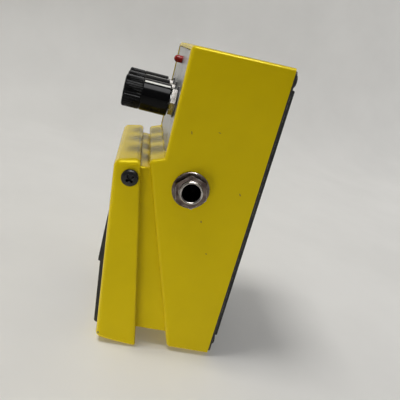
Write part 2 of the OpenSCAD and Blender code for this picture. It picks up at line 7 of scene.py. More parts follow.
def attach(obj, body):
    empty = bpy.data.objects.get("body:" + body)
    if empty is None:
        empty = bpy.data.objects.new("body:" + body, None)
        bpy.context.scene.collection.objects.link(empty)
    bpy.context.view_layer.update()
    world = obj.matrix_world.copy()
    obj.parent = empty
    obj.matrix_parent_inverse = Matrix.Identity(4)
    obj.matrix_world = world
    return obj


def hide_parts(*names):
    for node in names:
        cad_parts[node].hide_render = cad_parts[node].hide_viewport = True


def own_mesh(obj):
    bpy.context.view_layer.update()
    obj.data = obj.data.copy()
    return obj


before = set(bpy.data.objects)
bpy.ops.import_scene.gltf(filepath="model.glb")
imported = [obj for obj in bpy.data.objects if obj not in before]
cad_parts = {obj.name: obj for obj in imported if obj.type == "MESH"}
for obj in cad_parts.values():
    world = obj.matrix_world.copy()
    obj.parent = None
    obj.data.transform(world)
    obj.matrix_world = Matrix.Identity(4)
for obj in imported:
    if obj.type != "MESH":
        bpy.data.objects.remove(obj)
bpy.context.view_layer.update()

MM = 0.001
CASE_L, BASE_H = 129.0, 3.0
collection = bpy.context.scene.collection

# The treadle's top and the thumbscrew's axis, in the case's own measures
TILT = math.atan(0.0946)
HINGE = (75.1, 50.4)
JACK = (75.0, 26.5)
THUMB_Y = 58.0


def at(x, y, z):
    """A place in the case's own measures (mm from the player's end and the bottom edge), in the row frame."""
    return Vector((x * MM, (y - CASE_L / 2) * MM, (z + BASE_H) * MM))


def treadle_top(y):
    return 49.9 + 0.0946 * y


def shoulder(y):
    return 18.1 + 0.322 * y


def thumb_matrix(depth=0.0):
    """The thumbscrew's axis: its local Z points out of the treadle's top."""
    turn = Matrix.Rotation(TILT, 4, "X")
    return Matrix.Translation(at(0, THUMB_Y, treadle_top(THUMB_Y))) @ turn @ Matrix.Translation((0, 0, depth * MM))


# ---------------------------------------------------------------- mesh helpers

def to_object(name, bm, matrix=None):
    bmesh.ops.recalc_face_normals(bm, faces=bm.faces[:])
    mesh = bpy.data.meshes.new(name)
    bm.to_mesh(mesh)
    bm.free()
    obj = bpy.data.objects.new(name, mesh)
    collection.objects.link(obj)
    if matrix is not None:
        mesh.transform(matrix)
    return obj


def round_edges(bm, width, segments, keep=lambda edge: True, angle=20):
    edges = [e for e in bm.edges if len(e.link_faces) == 2 and e.is_convex
             and e.calc_face_angle(0) > math.radians(angle) and keep(e)]
    if edges:
        bmesh.ops.bevel(bm, geom=edges, offset=width * MM, segments=segments, profile=0.5,
                        affect="EDGES", clamp_overlap=True)


def prism(name, profile, x0, x1, width=0, segments=4, keep=lambda edge: True):
    """A side profile of (y, z) points, in the case's measures, run across from x0 to x1."""
    bm = bmesh.new()
    ends = [[bm.verts.new(at(x, y, z)) for y, z in profile] for x in (x0, x1)]
    n = len(profile)
    bm.faces.new(ends[0])
    bm.faces.new(ends[1][::-1])
    for i in range(n):
        j = (i + 1) % n
        bm.faces.new((ends[0][i], ends[1][i], ends[1][j], ends[0][j]))
    bmesh.ops.recalc_face_normals(bm, faces=bm.faces[:])
    if width:
        round_edges(bm, width, segments, keep)
    return to_object(name, bm)


def round_sides(obj, half, width, segments=6, keep=lambda edge: True):
    """Rounds the rim of both side faces."""
    bm = bmesh.new()
    bm.from_mesh(obj.data)
    side = half * MM - 1e-6
    rims = [e for e in bm.edges if min(abs(v.co.x) for v in e.verts) > side
            and e.verts[0].co.x * e.verts[1].co.x > 0 and keep(e)]
    bmesh.ops.bevel(bm, geom=rims, offset=width * MM, segments=segments, profile=0.5, affect="EDGES",
                    clamp_overlap=True)
    bm.to_mesh(obj.data)
    bm.free()
    return obj


def block(name, x0, y0, z0, x1, y1, z1, width=0, segments=3):
    return prism(name, [(y0, z0), (y1, z0), (y1, z1), (y0, z1)], x0, x1, width, segments)


def turned(name, rings, steps=64, matrix=None, close=True, wobble=None):
    """Rings of (radius, height) in mm, turned about local Z. wobble(angle, ring) scales a ring's radius."""
    bm = bmesh.new()
    loops = []
    for k, (r, h) in enumerate(rings):
        if r < 1e-6:
            loops.append([bm.verts.new((0, 0, h * MM))])
            continue
        loop = []
        for i in range(steps):
            a = 2 * math.pi * i / steps
            rr = r + (wobble(a, k) if wobble else 0)
            loop.append(bm.verts.new((rr * MM * math.cos(a), rr * MM * math.sin(a), h * MM)))
        loops.append(loop)
    pairs = list(zip(loops, loops[1:]))
    if close:
        pairs.append((loops[-1], loops[0]))
    for a, b in pairs:
        if len(a) == 1 and len(b) == 1:
            continue
        for i in range(steps):
            j = (i + 1) % steps
            if len(a) == 1:
                bm.faces.new((a[0], b[i], b[j]))
            elif len(b) == 1:
                bm.faces.new((a[i], b[0], a[j]))
            else:
                bm.faces.new((a[i], b[i], b[j], a[j]))
    return to_object(name, bm, matrix)


def rod(name, r, low, high, matrix, steps=64):
    return turned(name, [(0, low), (r, low), (r, high), (0, high)], steps, matrix, close=False)


def across_x(y, z, x=0.0, flip=False):
    """Local Z along +X (or -X if flipped), at a place in the case's measures."""
    return Matrix.Translation(at(x, y, z)) @ Matrix.Rotation(math.radians(-90 if flip else 90), 4, "Y")


def solve(obj, tool, operation="DIFFERENCE"):
    change = obj.modifiers.new("solve", "BOOLEAN")
    change.object = tool
    change.operation = operation
    change.solver = "EXACT"
    graph = bpy.context.evaluated_depsgraph_get()
    graph.update()
    made = bpy.data.meshes.new_from_object(obj.evaluated_get(graph))
    obj.modifiers.clear()
    old, obj.data = obj.data, made
    made.name = obj.name
    bpy.data.meshes.remove(old)
    bpy.data.meshes.remove(tool.data)
    return obj


def cut(obj, *tools):
    for tool in tools:
        solve(obj, tool)
    return obj


def add(obj, *tools):
    for tool in tools:
        solve(obj, tool, "UNION")
    return obj


def smooth(obj, angle=32):
    mesh = obj.data
    mesh.polygons.foreach_set("use_smooth", [True] * len(mesh.polygons))
    mesh.set_sharp_from_angle(angle=math.radians(angle))
    change = obj.modifiers.new("normals", "WEIGHTED_NORMAL")
    change.keep_sharp = True
    return obj


def merged(name, *parts):
    """Several separate solids of one piece, in one mesh."""
    bm = bmesh.new()
    for part in parts:
        bm.from_mesh(part.data)
        mesh = part.data
        bpy.data.objects.remove(part)
        bpy.data.meshes.remove(mesh)
    return to_object(name, bm)


def piece(obj, body, material, slot_name, *nodes, angle=32):
    smooth(obj, angle)
    obj.data.materials.clear()
    obj.data.materials.append(material)
    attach(obj, body)
    if nodes:
        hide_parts(*nodes)
    return obj


# ---------------------------------------------------------------- materials

class Shader:
    """A small builder for node materials."""

    def __init__(self, name, **sockets):
        self.material = bpy.data.materials.new(name)
        self.material.use_nodes = True
        self.tree = self.material.node_tree
        self.bsdf = self.tree.nodes["Principled BSDF"]
        for key, value in sockets.items():
            socket = self.bsdf.inputs[key.replace("_", " ")]
            socket.default_value = (*value, 1) if isinstance(value, tuple) else value
        self.place = self.tree.nodes.new("ShaderNodeTexCoord").outputs["Object"]

    def node(self, kind, inputs=(), **settings):
        made = self.tree.nodes.new(kind)
        for key, value in settings.items():
            setattr(made, key, value)
        for key, value in dict(inputs).items():
            if isinstance(value, bpy.types.NodeSocket):
                self.tree.links.new(value, made.inputs[key])
            else:
                made.inputs[key].default_value = value
        return made

    def noise(self, scale, detail=3.0, rough=0.55, stretch=None):
        vector = self.place
        if stretch:
            vector = self.node("ShaderNodeMapping", {"Vector": vector, "Scale": stretch}).outputs[0]
        return self.node("ShaderNodeTexNoise", {"Vector": vector, "Scale": scale, "Detail": detail,
                                                "Roughness": rough}).outputs[0]

    def cells(self, scale):
        return self.node("ShaderNodeTexVoronoi", {"Vector": self.place, "Scale": scale}).outputs[0]

    def math(self, operation, a, b=0.0, clamp=False):
        return self.node("ShaderNodeMath", {0: a, 1: b}, operation=operation, use_clamp=clamp).outputs[0]

    def span(self, value, a, b, c=0.0, d=1.0):
        return self.node("ShaderNodeMapRange", {"Value": value, "From Min": a, "From Max": b,
                                                "To Min": c, "To Max": d}).outputs[0]

    def mix(self, factor, a, b):
        made = self.node("ShaderNodeMix", data_type="RGBA")
        for index, value in ((0, factor), (6, a), (7, b)):
            if isinstance(value, bpy.types.NodeSocket):
                self.tree.links.new(value, made.inputs[index])
            else:
                made.inputs[index].default_value = (*value, 1) if isinstance(value, tuple) else value
        return made.outputs[2]

    def edges(self, radius):
        """1 along edges, 0 on flat faces: the mask for worn edges, and on the jack nuts for a painted highlight."""
        soft = self.node("ShaderNodeBevel", {"Radius": radius * MM}, samples=4).outputs[0]
        flat = self.node("ShaderNodeNewGeometry").outputs["Normal"]
        dot = self.node("ShaderNodeVectorMath", {0: soft, 1: flat}, operation="DOT_PRODUCT").outputs["Value"]
        return self.span(dot, 0.995, 0.90)

    def near(self, point, radius, ragged, lean=0.0, thin=1.0):
        """1 within radius (mm) of a point, with a ragged rim. thin narrows it to a scratch, leant about X."""
        turn = self.node("ShaderNodeMapping", {"Vector": self.place, "Location": point, "Rotation": (lean, 0, 0),
                                               "Scale": (1, 1, 1 / thin)}, vector_type="TEXTURE")
        turn.inputs["Scale"].default_value = (1, 1, thin)
        gap = self.node("ShaderNodeVectorMath", {0: turn.outputs[0]}, operation="LENGTH").outputs["Value"]
        gap = self.math("ADD", gap, self.math("MULTIPLY", ragged, radius * MM * 0.9))
        return self.span(gap, radius * MM * 1.25, radius * MM * 1.15)

    def bump(self, height, strength, distance):
        made = self.node("ShaderNodeBump", {"Height": height, "Strength": strength, "Distance": distance * MM})
        self.tree.links.new(made.outputs[0], self.bsdf.inputs["Normal"])

    def set(self, socket, value):
        self.tree.links.new(value, self.bsdf.inputs[socket])
        return self


def worked(name, low, high, rough, grain=900.0, depth=0.02, strength=0.3, patch=60.0, stretch=None, edge_wear_and_highlight=None,
           **sockets):
    """Plastic, metal or rubber: two tones in patches, roughness that varies, fine grain, and a lighter colour along the
    edges: worn edges, and on the jack nuts a painted highlight.
    """
    s = Shader(name, **sockets)
    tone = s.span(s.noise(patch, 4), 0.35, 0.65)
    colour = s.mix(tone, low, high)
    fine = s.noise(grain, 3, stretch=stretch)
    roughness = s.span(s.math("ADD", s.noise(patch * 2.3, 5), s.math("MULTIPLY", fine, 0.5)), 0.45, 1.05,
                       rough[0], rough[1])
    if edge_wear_and_highlight:
        # Edge colour: worn metal, and on the jack nuts a painted highlight on the facets.
        mask = s.math("MULTIPLY", s.edges(0.35), s.span(s.noise(420.0, 4), 0.45, 0.6), clamp=True)
        colour = s.mix(mask, colour, edge_wear_and_highlight)
    s.set("Base Color", colour).set("Roughness", roughness)
    s.bump(fine, strength, depth)
    return s.material


# Places of small chips and scratches in the paint (mm), with their size, lean and width
CHIPS = ((35.3, 96.9, 31.6, 0.85, 0.35, 0.3), (35.3, 99.4, 21.3, 0.8, 1.5, 0.25), (35.3, 77.4, 6.8, 0.75, 0.6, 0.4),
         (35.3, 62.9, 19.0, 0.6, 0.3, 0.6), (35.3, 49.5, 13.3, 0.55, 1.1, 0.5), (36.4, 4.6, 49.4, 0.8, 0.2, 0.6))


def paint_material():
    s = Shader("yellow_paint", Coat_Weight=0.02, Coat_Roughness=0.05, Specular_IOR_Level=0.85,
               Specular_Tint=(1.0, 0.86, 0.05))
    broad = s.span(s.noise(22.0, 3), 0.3, 0.7)
    colour = s.mix(broad, (0.60, 0.445, 0.003), (0.655, 0.487, 0.004))
    grime = s.math("MULTIPLY", s.span(s.noise(60.0, 2), 0.1, 0.95), 0.12)
    colour = s.mix(grime, colour, (0.40, 0.30, 0.012))
    ragged = s.noise(1500.0, 3)
    worn = s.math("MULTIPLY", s.edges(0.5), s.span(s.noise(170.0, 5, 0.6), 0.62, 0.66), clamp=True)
    for x, y, z, r, lean, thin in CHIPS:
        worn = s.math("MAXIMUM", worn, s.near(tuple(at(x, y, z)), r, ragged, lean, thin))
    colour = s.mix(worn, colour, (0.09, 0.075, 0.05))
    peel = s.noise(520.0, 2)
    speck = s.noise(2400.0, 2)
    s.set("Base Color", colour)
    s.set("Roughness", s.math("ADD", s.span(s.noise(34.0, 2), 0.3, 0.7, 0.19, 0.262),
                              s.math("MULTIPLY", worn, 0.35)))
    height = s.math("SUBTRACT", s.math("ADD", peel, s.math("MULTIPLY", speck, 0.25)),
                    s.math("MULTIPLY", worn, 3.0))
    s.bump(height, 0.22, 0.035)
    return s.material


def rubber_material():
    s = Shader("black_rubber", Specular_IOR_Level=0.4)
    tone = s.mix(s.span(s.noise(48.0, 5), 0.35, 0.7), (0.018, 0.018, 0.019), (0.034, 0.034, 0.035))
    dust = s.math("MULTIPLY", s.span(s.noise(160.0, 7, 0.7), 0.55, 0.8), 0.3)
    s.set("Base Color", s.mix(dust, tone, (0.10, 0.095, 0.088)))
    s.set("Roughness", s.span(s.noise(120.0, 4), 0.3, 0.7, 0.62, 0.88))
    s.bump(s.math("ADD", s.cells(1500.0), s.noise(2600.0, 3)), 0.4, 0.05)
    return s.material


M = {
    "paint": paint_material(),
    "rubber": rubber_material(),
    "panel": worked("panel_metal", (0.50, 0.50, 0.49), (0.60, 0.60, 0.58), (0.24, 0.46), 260.0, 0.008, 0.35, 55.0,
                    (1, 26, 26), (0.75, 0.75, 0.74), Metallic=1.0),
    "knob": worked("knob_plastic", (0.0015, 0.0015, 0.0018), (0.0035, 0.0035, 0.004), (0.08, 0.2), 1400.0, 0.004, 0.15,
                   80.0, None, (0.02, 0.02, 0.02), Specular_IOR_Level=0.11),
    "white": worked("pointer_paint", (0.72, 0.72, 0.69), (0.82, 0.82, 0.79), (0.35, 0.55), 1200.0, 0.006),
    "marks": worked("panel_marks", (0.015, 0.015, 0.016), (0.03, 0.03, 0.03), (0.4, 0.6), 1200.0, 0.004),
    "screw": worked("black_screw", (0.004, 0.004, 0.0045), (0.012, 0.012, 0.013), (0.2, 0.42), 1300.0, 0.01, 0.3,
                    140.0, None, (0.12, 0.12, 0.12), Specular_IOR_Level=0.35),
    "nickel": worked("nickel", (0.20, 0.188, 0.178), (0.32, 0.305, 0.29), (0.16, 0.36), 900.0, 0.006, 0.2, 160.0,
                     None, (0.6, 0.57, 0.54), Metallic=1.0),
    # Jack nuts: the near-black brownish face is a painted dark reflection, and the near-white colour on the masked
    # edges is worn metal brightened into a painted highlight on the facets.
    "nut": worked("jack_nut", (0.06, 0.042, 0.037), (0.19, 0.15, 0.135), (0.12, 0.3), 900.0, 0.006, 0.25, 330.0,
                  None, (0.95, 0.92, 0.88), Metallic=1.0),
    "washer": worked("jack_washer", (0.07, 0.05, 0.045), (0.20, 0.165, 0.15), (0.2, 0.4), 900.0, 0.008, 0.3, 260.0,
                     None, (0.45, 0.42, 0.4), Metallic=1.0),
    "chrome": worked("chrome", (0.34, 0.315, 0.29), (0.50, 0.47, 0.44), (0.06, 0.18), 700.0, 0.004, 0.15, 120.0,
                     Metallic=1.0),
    "steel": worked("steel", (0.42, 0.42, 0.42), (0.56, 0.56, 0.55), (0.26, 0.44), 1000.0, 0.008, 0.3, 90.0,
                    None, (0.7, 0.7, 0.7), Metallic=1.0),
    "brass": worked("brass_parts", (0.62, 0.42, 0.13), (0.75, 0.55, 0.22), (0.2, 0.38), 900.0, 0.006, 0.25, 100.0,
                    None, (0.85, 0.7, 0.35), Metallic=1.0),
    "nylon": worked("nylon", (0.66, 0.65, 0.60), (0.78, 0.77, 0.72), (0.4, 0.6), 800.0, 0.02,
                    Subsurface_Weight=0.15, Subsurface_Scale=0.001),
    "plastic": worked("black_plastic", (0.014, 0.014, 0.015), (0.03, 0.03, 0.031), (0.4, 0.6), 1500.0, 0.015, 0.4,
                      90.0, None, (0.09, 0.09, 0.09)),
    "board": worked("circuit_board", (0.012, 0.10, 0.035), (0.02, 0.15, 0.06), (0.22, 0.4), 240.0, 0.02, 0.3, 34.0,
                    (1, 5, 1), (0.35, 0.28, 0.12), Coat_Weight=0.3),
    "sleeve": worked("capacitor_sleeve", (0.02, 0.03, 0.12), (0.04, 0.06, 0.2), (0.2, 0.36), 700.0),
    "film": worked("film_capacitor", (0.33, 0.035, 0.02), (0.44, 0.06, 0.035), (0.22, 0.38), 500.0),
    "resistor": worked("resistor_body", (0.50, 0.33, 0.16), (0.62, 0.45, 0.25), (0.35, 0.5), 800.0),
    "battery": worked("battery_wrap", (0.03, 0.03, 0.034), (0.06, 0.06, 0.066), (0.2, 0.34), 400.0, 0.015, 0.2,
                      30.0, (1, 8, 8), (0.35, 0.35, 0.35), Metallic=0.3),
    "plate": worked("dark_plate", (0.02, 0.02, 0.022), (0.04, 0.04, 0.042), (0.4, 0.62), 900.0, 0.02, 0.4, 60.0,
                    None, (0.28, 0.27, 0.26), Metallic=0.4),
    "wire": worked("wire_insulation", (0.30, 0.02, 0.015), (0.42, 0.04, 0.03), (0.3, 0.45), 900.0),
    "switch": worked("switch_plastic", (0.36, 0.025, 0.018), (0.48, 0.05, 0.035), (0.4, 0.55), 1100.0),
    "lamp": worked("lamp_red", (0.30, 0.006, 0.003), (0.42, 0.010, 0.005), (0.18, 0.3), 300.0, 0.004, 0.1, 260.0,
                   Transmission_Weight=0.1, Specular_IOR_Level=0.35),
}

# ---------------------------------------------------------------- case

NECK = (7.7, 79.4)


def neck_top(y):
    return 41.5 + 0.145 * y


def case_piece():
    bottom = at(0, 0, 0.05).z
    shell = prism("case_casting", [(1.3, 0), (1.5, shoulder(1.5)), (82.8, shoulder(82.8)), (84.9, 39.2),
                                   (127.3, 39.2), (129, 0)], -35.3, 35.3, 1.5, 6,
                  lambda e: max(v.co.z for v in e.verts) > bottom)
    neck = prism("neck", [(NECK[0], 10), (NECK[0], neck_top(NECK[0])), (NECK[1], neck_top(NECK[1])),
                          (NECK[1], 10)], -33, 33, 0.9, 4)
    add(shell, neck)
    add(shell, rod("ear", 3.6, 30.5, 33, across_x(*HINGE)), rod("ear", 3.6, 30.5, 33, across_x(*HINGE, flip=True)))
    cut(shell, prism("hollow", [(4, -1), (4, shoulder(4) - 2.5), (80.3, shoulder(80.3) - 2.5), (82.4, 35.8),
                                (124.8, 35.8), (126.5, -1)], -32.8, 32.8),
        block("hollow", -30.5, 10.2, 15.6, 30.5, 76.9, 60))
    add(shell, prism("bay", [(18.6, 21.5), (18.6, 43), (50.2, 45.5), (50.2, 21.5)], -32.95, 32.95),
        block("deck", -32.9, 8, 38, 32.9, 20.6, 40.5), block("deck", -32.9, 48.2, 43, 32.9, 79.2, 45.5),
        rod("tower", 8.4, -22.3, -9.8, thumb_matrix(), 48))
    for x in (-10.5, 10.5):
        add(shell, rod("post", 2, 28, 38.01, Matrix.Translation(at(x, 14.4, 0)), 32))
    for x in (-30, 30):
        for y in (6.5, 124.3):
            boss = rod("boss", 3.5, 0, 14, Matrix.Translation(at(x, y, 0)), 32)
            solve(boss, block("trim", -35.1, 1.7, -1, 35.1, 128.1, 20), "INTERSECT")
            add(shell, boss)
    for x, y, top in ((-26, 34, 21.5), (26, 34, 21.5), (-28, 89.2, 35.8), (28, 89.2, 35.8)):
        add(shell, rod("post", 2.6, 9.6, top + 0.01, Matrix.Translation(at(x, y, 0)), 32))
    cut(shell, block("bay", -30.5, 20.6, 23.5, 30.5, 48.2, 60), block("hole", 22, 26, 13.5, 28, 31, 24.5),
        rod("hole", 6.7, -20.3, 9, thumb_matrix(), 48), rod("hole", 5.3, -29.4, 0, thumb_matrix(), 48),
        rod("hole", 2.4, 30.5, 50.5, Matrix.Translation(at(0, 14.4, 0)), 32),
        block("recess", -33.2, 85.4, 38, 33.2, 125.6, 48, 0.9, 3))
    for x in (-19, 0, 19):
        cut(shell, rod("hole", 3.6, 33, 43, Matrix.Translation(at(x, 104.5, 0)), 40))
    cut(shell, rod("hole", 2.4, 33, 43, Matrix.Translation(at(0, 120.3, 0)), 32))
    for flip in (False, True):
        cut(shell, rod("hole", 4.8, 27.8, 40, across_x(*JACK, flip=flip), 48),
            rod("hole", 1.5, 29.5, 34, across_x(*HINGE, flip=flip), 32))
    back = Matrix.Translation(at(0, 119, 18)) @ Matrix.Rotation(math.radians(-90), 4, "X")
    cut(shell, rod("hole", 4.6, 0, 20, back, 48))
    for x in (-30, 30):
        for y in (6.5, 124.3):
            cut(shell, rod("hole", 1.5, -1, 12, Matrix.Translation(at(x, y, 0)), 24))
    return piece(shell, "case", M["paint"], "yellow_paint", "main_case")


case_piece()

# ---------------------------------------------------------------- panel, lamp and marks

panel = block("panel_plate", -32.9, 85.7, 38, 32.9, 125.3, 38.8, 0.22, 3)
for x in (-19, 0, 19):
    cut(panel, rod("hole", 3.6, 33, 43, Matrix.Translation(at(x, 104.5, 0)), 40))
cut(panel, rod("hole", 1.6, 33, 43, Matrix.Translation(at(0, 120.3, 0)), 40))
piece(panel, "case", M["panel"], "panel_metal", "control_panel")


def dial_marks():
    bm = bmesh.new()
    for x in (-19, 0, 19):
        for i in range(11):
            a = math.radians(90 - 150 + 30 * i)
            long = 2.2 if i % 5 == 0 else 1.3
            ray, side = Vector((math.cos(a), math.sin(a), 0)), Vector((-math.sin(a), math.cos(a), 0))
            base = at(x, 104.5, 38.79)
            corners = []
            for height in (0, 0.03):
                for d, s in ((7.3, -0.22), (7.3 + long, -0.22), (7.3 + long, 0.22), (7.3, 0.22)):
                    corners.append(bm.verts.new(base + (ray * d + side * s + Vector((0, 0, height))) * MM))
            for f in ((3, 2, 1, 0), (4, 5, 6, 7), (0, 1, 5, 4), (1, 2, 6, 5), (2, 3, 7, 6), (3, 0, 4, 7)):
                bm.faces.new([corners[k] for k in f])
    return to_object("panel_marks", bm)


piece(dial_marks(), "case", M["marks"], "black_plastic")

LAMP_R = 1.5
dome = [(LAMP_R * math.cos(math.radians(a)), 40.9 + LAMP_R * math.sin(math.radians(a))) for a in range(0, 90, 10)]
lamp = turned("lamp_dome", [(0, 34.6), (LAMP_R, 34.6)] + dome + [(0, 42.4)], 48,
              Matrix.Translation(at(0, 120.3, 0)), close=False)
piece(lamp, "case", M["lamp"], "lamp_red", "led", angle=50)
ring = turned("lamp_holder", [(LAMP_R, 34.6), (2.32, 34.6), (2.34, 37.7), (2.2, 37.95), (LAMP_R, 37.95)], 48,
              Matrix.Translation(at(0, 120.3, 0)))
piece(ring, "case", M["plastic"], "black_plastic", "led_holder")

# ---------------------------------------------------------------- knobs

KNOBS = (("left", -19, 15), ("center", 0, 0), ("right", 19, -29))
GRIP = 11.0
KNOB_R = 6.3


def knob_piece(side, x, turn):
    teeth = 36
    rings = [(5.2, 2), (5.2, 0.15), (6.1, 0), (6.28, 0.2), (KNOB_R, 0.5), (6.22, GRIP - 0.45), (6.1, GRIP - 0.15),
             (5.86, GRIP), (6.05, GRIP + 0.25), (6.05, 17.3), (5.92, 17.62), (5.7, 17.86), (5.35, 18), (4.6, 17.96),
             (3.6, 17.86), (0, 17.8)]

    def wobble(a, k):
        return 0.17 * max(-0.8, min(0.8, 1.5 * math.cos(teeth * a))) if 8 <= k <= 10 else 0

    place = Matrix.Translation(at(x, 104.5, 41.8)) @ Matrix.Rotation(math.radians(turn), 4, "Z")
    bm_rings = [(3, 13.2), (3, 2)] + rings
    knob = turned("knob_" + side + "_cap", [(0, 13.2)] + bm_rings, 288, place, close=False,
                  wobble=lambda a, k: wobble(a, k - 3))
    body = side + "_knob"
    piece(knob, body, M["knob"], "knob_plastic", "knob_" + side, angle=40)
    bm = bmesh.new()
    rows = []
    for h, r in ((0.5, KNOB_R), (GRIP - 0.5, 6.22)):
        row = []
        for out in (-0.05, 0.03):
            for i in range(7):
                a = math.radians(90 - 5 + 10 * i / 6)
                row.append(bm.verts.new(((r + out) * MM * math.cos(a), (r + out) * MM * math.sin(a), h * MM)))
        rows.append(row)
    low, high = rows
    loop = list(range(7)) + list(range(13, 6, -1))
    for a, b in zip(loop, loop[1:] + loop[:1]):
        bm.faces.new((low[a], low[b], high[b], high[a]))
    bm.faces.new([low[k] for k in loop][::-1])
    bm.faces.new([high[k] for k in loop])
    piece(to_object("pointer_" + side, bm, place), body, M["white"], "knob_plastic")


for side, x, turn in KNOBS:
    knob_piece(side, x, turn)

# ---------------------------------------------------------------- treadle


def rounded_outline(corners, insets, n=8):
    """A convex outline of (y, z, radius) corners, taken anticlockwise. Each side moves in by its own inset."""
    points = []
    count = len(corners)
    for i in range(count):
        before, here, after = (Vector(corners[(i + k) % count][:2]) for k in (-1, 0, 1))
        d1, d2 = (here - before).normalized(), (after - here).normalized()
        n1, n2 = Vector((-d1.y, d1.x)), Vector((-d2.y, d2.x))
        in1, in2 = insets[i - 1], insets[i]
        along = n1.dot(n2)
        corner = here + (n1 * (in1 - in2 * along) + n2 * (in2 - in1 * along)) / (1 - along * along)
        r = max(corners[i][2] - max(in1, in2), 0.06)
        centre = corner + (n1 + n2) / (1 + along) * r
        sweep = math.atan2(d1.x * d2.y - d1.y * d2.x, d1.dot(d2))
        for k in range(n + 1):
            a = sweep * k / n
            out = -n1 * r
            points.append((centre.x + out.x * math.cos(a) - out.y * math.sin(a),
                           centre.y + out.x * math.sin(a) + out.y * math.cos(a)))
    return points


def cushioned(name, corners, widths, half, steps=7):
    """The outline run from -half to half in X, its side rims rounded by one width for each side of the outline."""
    most = max(widths)
    sections = []
    for k in range(steps + 1):
        x = half - most + most * math.sin(math.radians(90 * k / steps))
        insets = []
        for w in widths:
            t = max(0.0, x - (half - w))
            insets.append(w - math.sqrt(max(w * w - t * t, 0.0)))
        sections.append((x, rounded_outline(corners, insets)))
    levels = [(-x, outline) for x, outline in reversed(sections)] + sections
    bm = bmesh.new()
    rows = [[bm.verts.new(at(x, y, z)) for y, z in outline] for x, outline in levels]
    for p, q in zip(rows, rows[1:]):
        for i in range(len(p)):
            j = (i + 1) % len(p)
            bm.faces.new((p[i], p[j], q[j], q[i]))
    bm.faces.new(rows[0])
    bm.faces.new(rows[-1][::-1])
    return to_object(name, bm)


def treadle_piece():
    def skirt(y):
        return 32.45 + 0.1862 * y

    corners = [(0.05, skirt(0.05), 1.2), (81.8, skirt(81.8), 1.3), (82.4, 49.3, 1.2), (80.6, treadle_top(80.6), 3),
               (1.98, treadle_top(1.98), 3), (1.0, 43.5, 6)]
    shell = cushioned("treadle_casting", corners, (0.9, 2.2, 2.6, 1.7, 2.0, 1.7), 36.5)
    cut(shell, prism("hollow", [(2.6, 20), (3.5, treadle_top(3.5) - 4.3), (5.6, treadle_top(5.6) - 2.3),
                                (78.6, treadle_top(78.6) - 2.3), (80.2, 54), (80.3, 20)], -33.6, 33.6))
    add(shell, rod("boss", 9.2, -5.6, -1, thumb_matrix(), 64))
    cut(shell, turned("well", [(0, -3.4), (7.6, -3.4), (7.6, -0.5), (7.75, -0.2), (8.1, 0.01), (8.1, 8), (0, 8)], 64,
                      thumb_matrix(), close=False), rod("hole", 2.5, -20, 20, thumb_matrix(), 32))
    cut(shell, rod("hole", 3.1, -50, 50, across_x(*HINGE), 40))
    return piece(shell, "treadle", M["paint"], "yellow_paint", "treadle")


treadle_piece()


def pad_piece():
    def up(y, h):
        return (y, treadle_top(y) + h)
    pad = prism("treadle_mat", [up(5.6, 0), up(6.1, 1.3), up(6.8, 1.6), up(35.2, 1.6), up(35.4, 2.4), up(37, 2.35),
                                up(55.6, 0.5), up(56, 0)], -31, 31, 0.45, 3)
    for i in range(9):
        y = 9 + 3 * i
        cut(pad, prism("groove", [up(y - 0.5, 1.25), up(y + 0.5, 1.25), up(y + 0.75, 3), up(y - 0.75, 3)], -28.5, 28.5))
    cut(pad, rod("hole", 9, -5, 9, thumb_matrix(), 64))
    return piece(pad, "treadle", M["rubber"], "black_rubber", "treadle_pad")


pad_piece()


def thumb_piece():
    head = 4.6
    rings = [(0, -19), (2.2, -19), (2.45, -18.7), (2.45, -3.35), (6.6, -3.35), (6.72, -3.1), (6.72, 0.35),
             (6.6, 0.7), (6.3, 1.0), (5.6, 1.22), (0, 1.25)]
    screw = turned("thumbscrew_body", rings, 288, thumb_matrix(), close=False,
                   wobble=lambda a, k: 0.16 * math.cos(36 * a) if 4 <= k <= 7 else 0)
    slot_tool = block("slot", -0.8, -9, -0.25, 0.8, 9, 6)
    slot_tool.data.transform(thumb_matrix() @ Matrix.Translation(-at(0, 0, 0)))
    cut(screw, slot_tool)
    return piece(screw, "thumbscrew", M["nickel"], "nickel", "thumbscrew", angle=40)


thumb_piece()


def spring_piece():
    """A compression spring with a closed coil at each end, between its seat and the bush's flange."""
    low, high, radius, wire = -18.9, -8.5, 5.55, 0.55
    turns, steps, sides, dead = 6.0, 240, 12, 0.9
    bm = bmesh.new()
    rows = []

    def height(t):
        lift = dead * 2 * wire / (high - low)
        if t < dead / turns:
            return low + (high - low) * lift * t * turns / dead
        if t > 1 - dead / turns:
            return high - (high - low) * lift * (1 - t) * turns / dead
        u = (t - dead / turns) / (1 - 2 * dead / turns)
        return low + (high - low) * (lift + (1 - 2 * lift) * u)

    for i in range(steps + 1):
        t = i / steps
        a = 2 * math.pi * turns * t
        out = Vector((math.cos(a), math.sin(a), 0))
        centre = out * radius + Vector((0, 0, height(t)))
        row = []
        for k in range(sides):
            b = 2 * math.pi * k / sides
            row.append(bm.verts.new((centre + out * wire * math.cos(b) + Vector((0, 0, wire * math.sin(b)))) * MM))
        rows.append(row)
    for p, q in zip(rows, rows[1:]):
        for k in range(sides):
            m = (k + 1) % sides
            bm.faces.new((p[k], q[k], q[m], p[m]))
    bm.faces.new(rows[0])
    bm.faces.new(rows[-1][::-1])
    spring = piece(to_object("treadle_spring", bm, thumb_matrix()), "case", M["steel"], "steel", "return_spring",
                   angle=50)
    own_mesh(spring)


spring_piece()

# ---------------------------------------------------------------- hinge screws and jacks


